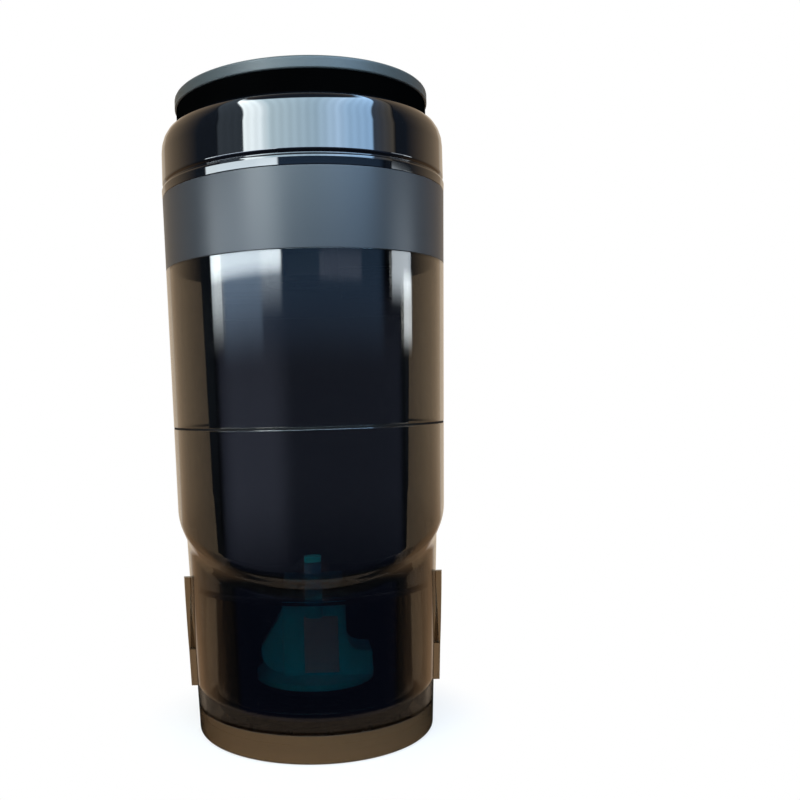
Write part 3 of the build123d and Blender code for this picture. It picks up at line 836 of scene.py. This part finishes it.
@dataclass
class Window:
    """Curved screen round the front of the tank that shines like a window with half-drawn curtains."""

    distance: float = 1.0
    level: float = 0.1266
    low: float = -40.0
    high: float = 74.0
    columns: int = 481
    rows: int = 172
    dark: float = 0.01
    sill: float = 14.0
    head: float = 70.0
    fold_depth: float = 0.05
    fold_pitch: float = 6.5
    lean_from: float = 22.0
    lean_span: float = 60.0
    lean_most: float = 0.84
    sill_fade: float = 1.0
    head_fade: float = 4.0
    curtain: tuple[tuple[float, float, str], ...] = (
        (-68.0, 0.0, "#c8d4e0"), (-66.0, 0.4, "#b8cada"), (-45.0, 0.4, "#b0c4d4"), (-44.0, 7.4, "#f2fcff"),
        (-31.0, 7.0, "#ecf9ff"), (-23.0, 4.9, "#d0e8f4"), (10.0, 4.3, "#c0e0f6"), (27.0, 5.4, "#bedfff"),
        (36.0, 4.9, "#b0d7fc"), (55.0, 4.5, "#a8d3ff"), (56.5, 0.6, "#a0b8d8"), (74.0, 0.6, "#c8bca8"),
        (77.0, 0.0, "#c8bca8"),
    )
    panes: tuple[Pane, ...] = (
        Pane(-78.0, -18.0, 7.9, 15.0, 5.6, "#e8f4fa"),
        Pane(-78.0, -68.0, 4.5, 12.0, 4.2, "#e8f4fa", fade=6.0),
        Pane(-34.0, -18.5, 6.4, 12.0, 2.4, "#dcecfa", fade=5.5, edge=4.0),
        Pane(-68.0, -34.0, 4.5, 12.0, 1.7, "#b4d0ee", fade=9.0, edge=4.0),
        Pane(71.0, 91.0, 6.6, 13.0, 3.7, "#e4f0fa", fade=3.0),
        Pane(83.0, 92.0, 2.8, 8.0, 4.0, "#eef6fa", fade=2.5),
        Pane(11.0, 44.0, 6.9, 9.2, 0.35, "#c4c8dc", edge=2.0),
        Pane(-66.0, 62.0, 3.5, 14.0, 0.32, "#93c5ff", fade=8.0, edge=8.0),
        Pane(-70.0, -20.0, -14.0, 5.0, 0.17, "#d4deff", fade=10.0, edge=22.0),
        Pane(-75.0, 80.0, -14.0, 6.0, 0.13, "#b4c4f0", fade=10.0, edge=8.0),
        Pane(-75.0, 80.0, -34.0, -14.0, 0.04, "#8fa8f0", fade=6.0, edge=8.0),
    )

    def curtain_light(self, azimuth: np.ndarray, elevation: np.ndarray) -> np.ndarray:
        """Radiance of the curtain in each direction.

        The colour is read from the curtain's list at a = azimuth (1 - f^2), where f is how far the
        direction is above lean_from, as a share of lean_span and at most lean_most: the upright folds
        lean apart overhead. Folds multiply it by 1 + depth sin(360 a / pitch). It rises from the sill
        and fades out at the head.

        Args:
            azimuth: directions to the right of the front, degrees.
            elevation: directions above the level, degrees.

        Returns:
            Red, green and blue for every direction.
        """
        lean = np.clip((elevation - self.lean_from) / self.lean_span, 0.0, self.lean_most)
        a = azimuth * (1 - lean ** 2)
        spots = [spot for spot, _, _ in self.curtain]
        tones = np.array([strength * np.array(linear(tint)[:3]) for _, strength, tint in self.curtain])
        colour = np.stack([np.interp(a, spots, tones[:, i]) for i in range(3)], axis=-1)
        folds = 1 + self.fold_depth * np.sin(2 * math.pi * a / self.fold_pitch)
        start = np.clip((elevation - self.sill) / self.sill_fade, 0.0, 1.0)
        stop = np.clip((self.head - elevation) / self.head_fade, 0.0, 1.0)
        return colour * (folds * (start * stop))[..., None]

    def build(self) -> None:
        """Adds the screen.

        A point at azimuth a and elevation e is d (cos e sin a, -cos e cos a, sin e) over the level.
        Its radiance is an attribute that the light's material reads.
        """
        turn = np.linspace(-180.0, 180.0, self.columns)
        rise = np.linspace(self.low, self.high, self.rows)
        azimuth, elevation = (grid.ravel() for grid in np.meshgrid(turn, rise))
        patches = sum(pane.light(azimuth, elevation) for pane in self.panes)
        light = self.curtain_light(azimuth, elevation) + patches
        a = np.radians(azimuth)
        e = np.radians(elevation)
        points = self.distance * np.stack((np.cos(e) * np.sin(a), -np.cos(e) * np.cos(a), np.sin(e)), axis=-1)
        points[:, 2] += self.level
        index = np.arange(points.shape[0]).reshape(self.rows, self.columns)
        quads = np.stack((index[:-1, :-1], index[1:, :-1], index[1:, 1:], index[:-1, 1:]), axis=-1)
        quads = quads.reshape(-1, 4)
        lit = light.max(axis=-1)[quads].max(axis=-1) > self.dark
        mesh = bpy.data.meshes.new("window")
        mesh.from_pydata(points.tolist(), [], quads[lit].tolist())
        shine = mesh.color_attributes.new("radiance", "FLOAT_COLOR", "POINT")
        shine.data.foreach_set("color", np.column_stack((light, np.ones(len(light)))).ravel())
        screen = bpy.data.objects.new("window", mesh)
        bpy.context.scene.collection.objects.link(screen)
        screen.visible_camera = False
        screen.visible_shadow = False
        glow = bpy.data.materials.new("window_light")
        glow.use_nodes = True
        tree = glow.node_tree
        tree.nodes.remove(tree.nodes["Principled BSDF"])
        colour = add_node(tree, "ShaderNodeAttribute", {"attribute_name": "radiance"}).outputs["Color"]
        shader = add_node(tree, "ShaderNodeEmission", links={"Color": colour})
        tree.links.new(shader.outputs[0], tree.nodes["Material Output"].inputs["Surface"])
        mesh.materials.append(glow)


@dataclass
class Studio:
    """Pale floor, white backdrop in a dim room, the window and the camera."""

    lens: float = 40.6
    sensor: float = 36.0
    clip_start: float = 0.01
    camera_distance: float = 0.358
    camera_height: float = 0.1266
    roll: float = 1.5
    shift_x: float = 0.1146
    sheet_radius: float = 0.08
    sheet_plain: float = 0.046
    sheet_white: float = 0.076
    sheet_glow: float = 0.72
    sheet_sides: int = 96
    sheet_drop: float = 0.0002
    paper_tone: str = "#f4f3f1"
    paper_dark: str = "#0c0a08"
    white: str = "#ffffff"
    table_tone: str = "#cdbcac"
    table_from: float = -0.02
    table_full: float = -0.26
    wall_tone: str = "#c8b7a2"
    room: tuple[tuple[float, str], ...] = (
        (0.50, "#2c333c"), (0.72, "#8f7e69"), (0.90, "#a8937b"), (0.955, "#ffffff"),
    )
    window: Window = field(default_factory=Window)

    def floor(self) -> None:
        """Adds a round white sheet.

        Most of its white is its own, and all of it at its edge, where it ends unseen. Through the glass
        it shows as the warm table, and in reflections it is dark.
        """
        turn = turns(self.sheet_sides)
        ring = np.stack((np.cos(turn), np.sin(turn), np.zeros(self.sheet_sides)), axis=-1) * self.sheet_radius
        mesh = bpy.data.meshes.new("floor")
        mesh.from_pydata(ring.tolist(), [], [list(range(self.sheet_sides))])
        floor = bpy.data.objects.new("floor", mesh)
        floor.location.z = -self.sheet_drop
        bpy.context.scene.collection.objects.link(floor)
        paper = bpy.data.materials.new("pale_floor")
        paper.use_nodes = True
        tree = paper.node_tree
        tree.nodes.remove(tree.nodes["Principled BSDF"])
        place = add_node(tree, "ShaderNodeTexCoord").outputs["Object"]
        length = add_node(tree, "ShaderNodeVectorMath", {"operation": "LENGTH"}, links={0: place})
        share = add_node(
            tree, "ShaderNodeMapRange", {"interpolation_type": "SMOOTHSTEP"},
            {
                "From Min": self.sheet_plain, "From Max": self.sheet_white,
                "To Min": self.sheet_glow, "To Max": 1.0,
            },
            {"Value": length.outputs["Value"]},
        ).outputs["Result"]
        rays = add_node(tree, "ShaderNodeLightPath").outputs
        seen = add_node(
            tree, "ShaderNodeMath", {"operation": "MAXIMUM"},
            links={0: rays["Is Camera Ray"], 1: rays["Is Transmission Ray"]},
        ).outputs[0]
        glowing = add_node(tree, "ShaderNodeMath", {"operation": "MULTIPLY"}, links={0: share, 1: seen})
        tone = add_node(
            tree, "ShaderNodeMix", {"data_type": "RGBA"},
            {MIX_A: linear(self.paper_tone), MIX_B: linear(self.paper_dark)},
            {"Factor": rays["Is Glossy Ray"]},
        )
        matte = add_node(tree, "ShaderNodeBsdfDiffuse", links={"Color": tone.outputs[MIX_OUT]})
        through = add_node(
            tree, "ShaderNodeMix", {"data_type": "RGBA"},
            {MIX_A: linear(self.white), MIX_B: linear(self.table_tone)},
            {"Factor": rays["Is Transmission Ray"]},
        )
        glow = add_node(
            tree, "ShaderNodeEmission", values={"Strength": 1.0}, links={"Color": through.outputs[MIX_OUT]},
        )
        mix = add_node(
            tree, "ShaderNodeMixShader",
            links={0: glowing.outputs[0], 1: matte.outputs[0], 2: glow.outputs[0]},
        )
        tree.links.new(mix.outputs[0], tree.nodes["Material Output"].inputs["Surface"])
        mesh.materials.append(paper)

    def surroundings(self) -> None:
        """White backdrop behind the tank, with a warm table below it and a dim room in front.

        The camera sees white all round, and reflections see no more of the backdrop than a warm wall.
        """
        world = bpy.data.worlds.new("studio")
        bpy.context.scene.world = world
        world.use_nodes = True
        tree = world.node_tree
        way = add_node(tree, "ShaderNodeTexCoord").outputs["Generated"]
        axes = add_node(tree, "ShaderNodeSeparateXYZ", links={0: way}).outputs
        place = add_node(
            tree, "ShaderNodeMapRange", values={"From Min": -1.0, "From Max": 1.0},
            links={"Value": axes["Y"]},
        ).outputs["Result"]
        ramp = add_node(tree, "ShaderNodeValToRGB", links={"Fac": place})
        elements = ramp.color_ramp.elements
        for spot, tone in self.room[1:-1]:
            elements.new(spot).color = linear(tone)
        for element, (spot, tone) in ((elements[0], self.room[0]), (elements[-1], self.room[-1])):
            element.position = spot
            element.color = linear(tone)
        below = add_node(
            tree, "ShaderNodeMapRange", {"interpolation_type": "SMOOTHSTEP"},
            {"From Min": self.table_from, "From Max": self.table_full}, {"Value": axes["Z"]},
        ).outputs["Result"]
        table = add_node(
            tree, "ShaderNodeMix", {"data_type": "RGBA", "blend_type": "MULTIPLY"},
            {MIX_B: linear(self.table_tone)}, {"Factor": below, MIX_A: ramp.outputs["Color"]},
        )
        rays = add_node(tree, "ShaderNodeLightPath").outputs
        wall = add_node(
            tree, "ShaderNodeMix", {"data_type": "RGBA", "blend_type": "DARKEN"},
            {MIX_B: linear(self.wall_tone)}, {"Factor": rays["Is Glossy Ray"], MIX_A: table.outputs[MIX_OUT]},
        )
        mix = add_node(
            tree, "ShaderNodeMix", {"data_type": "RGBA"}, {MIX_B: linear(self.white)},
            {"Factor": rays["Is Camera Ray"], MIX_A: wall.outputs[MIX_OUT]},
        )
        tree.links.new(mix.outputs[MIX_OUT], tree.nodes["Background"].inputs["Color"])

    def camera(self) -> None:
        """Adds the camera: level, a little below the tank's middle, rolled slightly, framed by its shift."""
        lens = bpy.data.cameras.new("camera")
        lens.lens = self.lens
        lens.sensor_width = self.sensor
        lens.shift_x = self.shift_x
        lens.clip_start = self.clip_start
        holder = bpy.data.objects.new("camera", lens)
        holder.location = (0.0, -self.camera_distance, self.camera_height)
        holder.rotation_euler = (math.pi / 2, math.radians(self.roll), 0.0)
        bpy.context.scene.collection.objects.link(holder)
        bpy.context.scene.camera = holder

    def build(self) -> None:
        """Sets the stage."""
        self.floor()
        self.surroundings()
        self.window.build()
        self.camera()
        bpy.context.scene.view_settings.view_transform = "Standard"


def main() -> None:
    """Builds every sub-assembly and the studio."""
    logging.basicConfig(level=logging.INFO, format="%(name)s %(message)s")
    for part in (TankBody(), Lid(), FilterUnit(), CheckValve(), Studio()):
        LOG.info("building %s", type(part).__name__)
        part.build()


if __name__ == "__main__":
    main()
